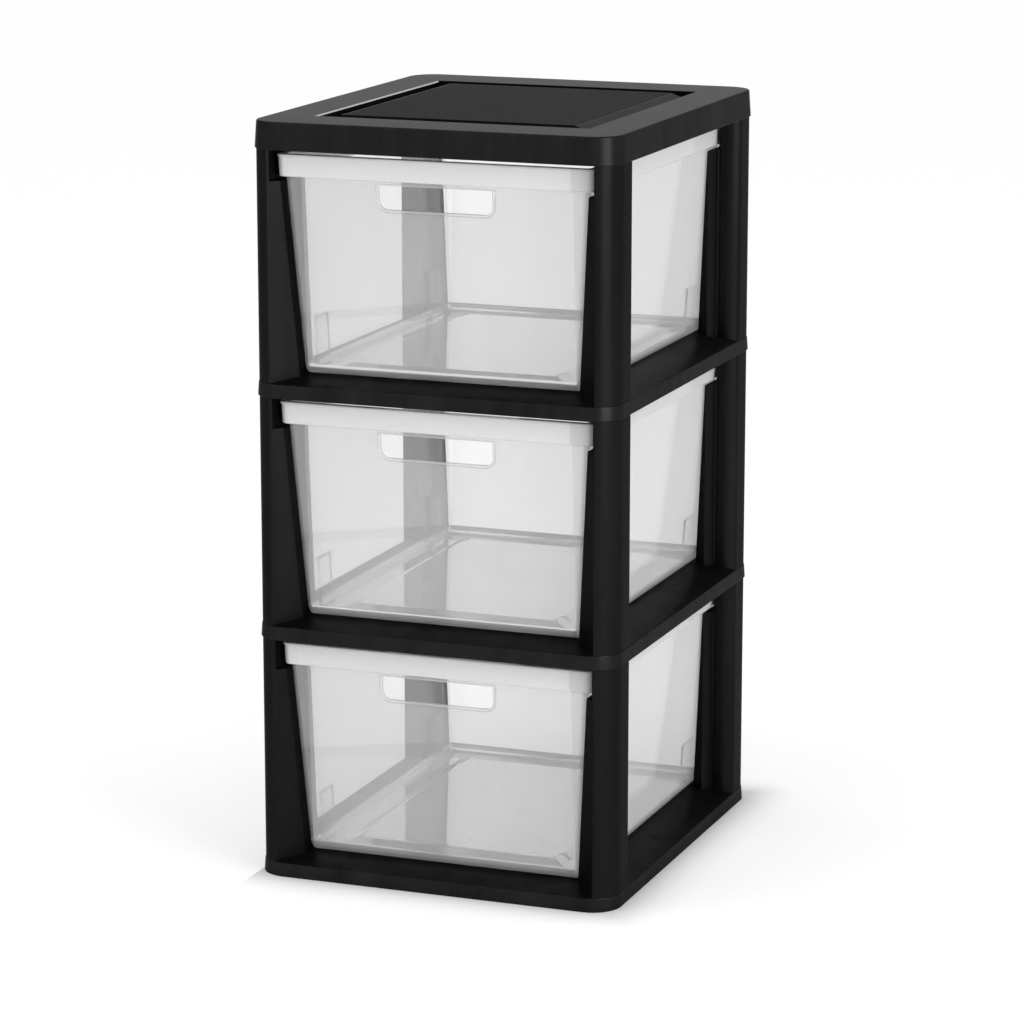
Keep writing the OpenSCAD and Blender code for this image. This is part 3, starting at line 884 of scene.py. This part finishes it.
def drawer(tier):
    """Drawer: one closed skin of rounded rectangles. Inside, the side walls stand out by LUG_T
    at four lugs. A patch of the front wall is left out and bridged to the finger opening, with
    a bead round it on the outside."""
    rows, *firsts = drawer_rows()
    outer, _, inner, _ = firsts
    lug_ends = DEPTH / 2 - LUG_B - np.array([0.0, LUG_D])
    span = half_side(tub(PATCH_MID, 0)[0] / 2, TUB_R)
    patch_x = np.linspace(0, PATCH_HALF, PATCH_LINES)
    along_x = stations(tub(PATCH_MID, 0)[0] / 2, TUB_R, patch_x, step=18.0)
    along_y = stations(TUB_D / 2, TUB_R, (lug_ends[:, None] + LUG_MARKS).ravel(), step=18.0)
    grid = rings(rows, along_x, along_y)

    on_side = np.repeat([False, True, False, True], [len(along_x), len(along_y)] * 2)
    on_side = on_side & (np.arange(len(rows))[:, None] >= inner)
    far, height = np.abs(grid[..., 1]), grid[..., 2]

    def in_lug(grow):
        """Points of the inner side walls within the lugs' outlines, grown by grow."""
        across = (far > lug_ends[1] - grow) & (far < lug_ends[0] + grow)
        return on_side & across & (height < LUG_TOP + grow) & (height > TUB_T + 0.5)

    lug = in_lug(0.0)
    lug_edge = in_lug(LUG_LINE) & ~in_lug(-LUG_LINE)
    grid[..., 0] -= np.sign(grid[..., 0]) * LUG_T * lug

    in_patch = np.flatnonzero(np.abs(along_x) * span <= PATCH_HALF + 0.01)
    first, last = in_patch[0], in_patch[-1]
    patch_rows = np.arange(len(WALL_Z) - len(PATCH_Z), len(WALL_Z))
    outer_rows = outer + patch_rows
    inner_rows = inner + len(WALL_Z) - 1 - patch_rows
    keep = np.ones((len(rows) - 1, grid.shape[1]), bool)
    for picked in (outer_rows, inner_rows):
        keep[picked.min() : picked.max(), first:last] = False

    skin = Skin()
    base = np.array([0, 0, FLOOR_Z + TIER_Z[tier]])
    tones = drawer_tones(grid.shape[:2], firsts, along_x, along_y, lug, lug_edge)
    index = skin.grid(grid + base, keep, tones=tones)
    skin.cap(index[0])
    skin.cap(index[-1])

    edges = []
    bead_tones = np.array([(0.0, 0.0)] + [row[2:] for row in BEAD_ROWS])[:, None]
    for picked, wall_y, rise in [
        (outer_rows, -TUB_D / 2, BEAD_RISE),
        (inner_rows, TUB_T - TUB_D / 2, 0.0),
    ]:
        down = grid[picked[::-1], first]
        bottom = grid[picked[0], first + 1 : last]
        up = grid[picked, last]
        top = grid[picked[-1], last - 1 : first : -1]
        loops = grip_bridge(down, bottom, up, top, wall_y, rise)
        tones = np.broadcast_to(bead_tones, (*loops.shape[:2], 2)) * (rise > 0)
        skin.grid(loops + base, tones=tones)
        edges.append(loops[-1])
    skin.grid(np.stack(edges) + base, tones=np.full((2, len(edges[0]), 2), (1.0, 0.0)))
    name = f"drawer_{tier}"
    return skin.piece(name, CLEAR, name, "clear_plastic")


for tier, node in TIERS.items():
    frame_ring(node, TIER_Z[tier])
    for end in ("front", "rear"):
        for side in ("left", "right"):
            post(f"post_{tier}_{end}_{side}", tier, side == "left", end == "front")
    drawer(tier)
cover()

# ---------------------------------------------------------------- stage, light and camera

FLOOR_HALF = 30.0  # metres
FLOOR_GREY = 0.76
FLOOR_GLOW = 0.34  # the part of the floor's white that is its own
CONTACT = 0.05  # metres round the base over which the floor's own white fades, a painted contact shadow
CONTACT_LEFT = 0.2  # share of the painted contact shadow that is left on the left
WORLD_GREY = 0.85

LAMPS = {  # name: (place, target, width, height, watts), in metres
    "key": ((-1.6, -2.2, 1.8), (0, 0, 0.3), 1.2, 1.2, 6),
    "side": ((1.95, -1.1, 0.75), (0, 0, 0.45), 1.3, 1.0, 20),
    "top": ((-0.7, -0.5, 2.6), (0, 0, 0.3), 0.5, 0.5, 5),
}

VIEW_YAW = math.radians(20.757)
VIEW_PITCH = math.radians(12.602)
VIEW_DISTANCE = 3.4427
VIEW_TARGET = (0.00156, 0.0, 0.28813)
FOCAL_PIXELS = 3987.8
PICTURE_PIXELS = 1024
SENSOR = 36.0


def ray_mask(m):
    """1 for rays that should see a plain white background."""
    path = m.tree.nodes.new("ShaderNodeLightPath")
    names = ("Is Camera Ray", "Is Glossy Ray", "Is Transmission Ray")
    camera_ray, glossy, transmission = (Socket(m, path.outputs[name]) for name in names)
    return camera_ray.at_least(glossy + transmission)


def floor():
    """White floor: part of its white is its own and the rest takes the shadow. Its own white fades
    at a distance d from the base as 1 - (1 - d / CONTACT)^2, a painted contact shadow, and only a
    little on the left, where the key lamp reaches under the lip."""
    m = Finish(bpy.data.materials.new("floor_white"))
    _, x, y, _ = m.place()
    past_x = (abs(x) - WIDTH * MM / 2).at_least(0.0)
    past_y = (abs(y) - DEPTH * MM / 2).at_least(0.0)
    d = (past_x * past_x + past_y * past_y) ** 0.5
    # painted contact shadow round the base
    contact_shade = (1 - d * (1 / CONTACT)).at_least(0.0)
    contact_shade = contact_shade * (1 - (1 - CONTACT_LEFT) * (x < -WIDTH * MM / 2))
    own_white = ray_mask(m) * FLOOR_GLOW * (1 - contact_shade * contact_shade)
    glow = m.node("ShaderNodeEmission", values={"Color": own_white, "Strength": 1.0})
    matt = m.node("ShaderNodeBsdfDiffuse", values={"Color": grey(FLOOR_GREY)})
    mesh = bpy.data.meshes.new("floor")
    square = [(-1, -1, 0), (1, -1, 0), (1, 1, 0), (-1, 1, 0)]
    mesh.from_pydata((np.array(square) * FLOOR_HALF).tolist(), [], [(0, 1, 2, 3)])
    mesh.materials.append(m.finish(m.node("ShaderNodeAddShader", values={0: glow, 1: matt})))
    plane = bpy.data.objects.new("floor", mesh)
    bpy.context.scene.collection.objects.link(plane)


def studio():
    """World: white where it is seen, a pale grey as light."""
    m = Finish(bpy.data.worlds.new("studio"))
    level = WORLD_GREY + ray_mask(m) * (1 - WORLD_GREY)
    sky = m.node("ShaderNodeBackground", values={"Color": grey(1), "Strength": level})
    bpy.context.scene.world = m.finish(sky, "ShaderNodeOutputWorld")


def lamp(name, place, target, width, height, power):
    """Soft box of the given width and height that faces a target."""
    light = bpy.data.lights.new(name, "AREA")
    light.shape = "RECTANGLE"
    light.size = width
    light.size_y = height
    light.energy = power
    lit = bpy.data.objects.new(name, light)
    lit.location = place
    lit.rotation_euler = (Vector(target) - Vector(place)).to_track_quat("-Z", "Y").to_euler()
    bpy.context.scene.collection.objects.link(lit)


def camera():
    """Camera that circles the target by yaw and pitch and looks at it."""
    data = bpy.data.cameras.new("camera")
    data.sensor_width = SENSOR
    data.lens = SENSOR * FOCAL_PIXELS / PICTURE_PIXELS
    made = bpy.data.objects.new("camera", data)
    back = (
        math.sin(VIEW_YAW) * math.cos(VIEW_PITCH),
        -math.cos(VIEW_YAW) * math.cos(VIEW_PITCH),
        math.sin(VIEW_PITCH),
    )
    made.location = [t + VIEW_DISTANCE * b for t, b in zip(VIEW_TARGET, back)]
    made.rotation_euler = (math.pi / 2 - VIEW_PITCH, 0, VIEW_YAW)
    bpy.context.scene.collection.objects.link(made)
    bpy.context.scene.camera = made


floor()
studio()
for name, settings in LAMPS.items():
    lamp(name, *settings)
camera()

scene = bpy.context.scene
scene.view_settings.view_transform = "Standard"
scene.cycles.transparent_max_bounces = 32
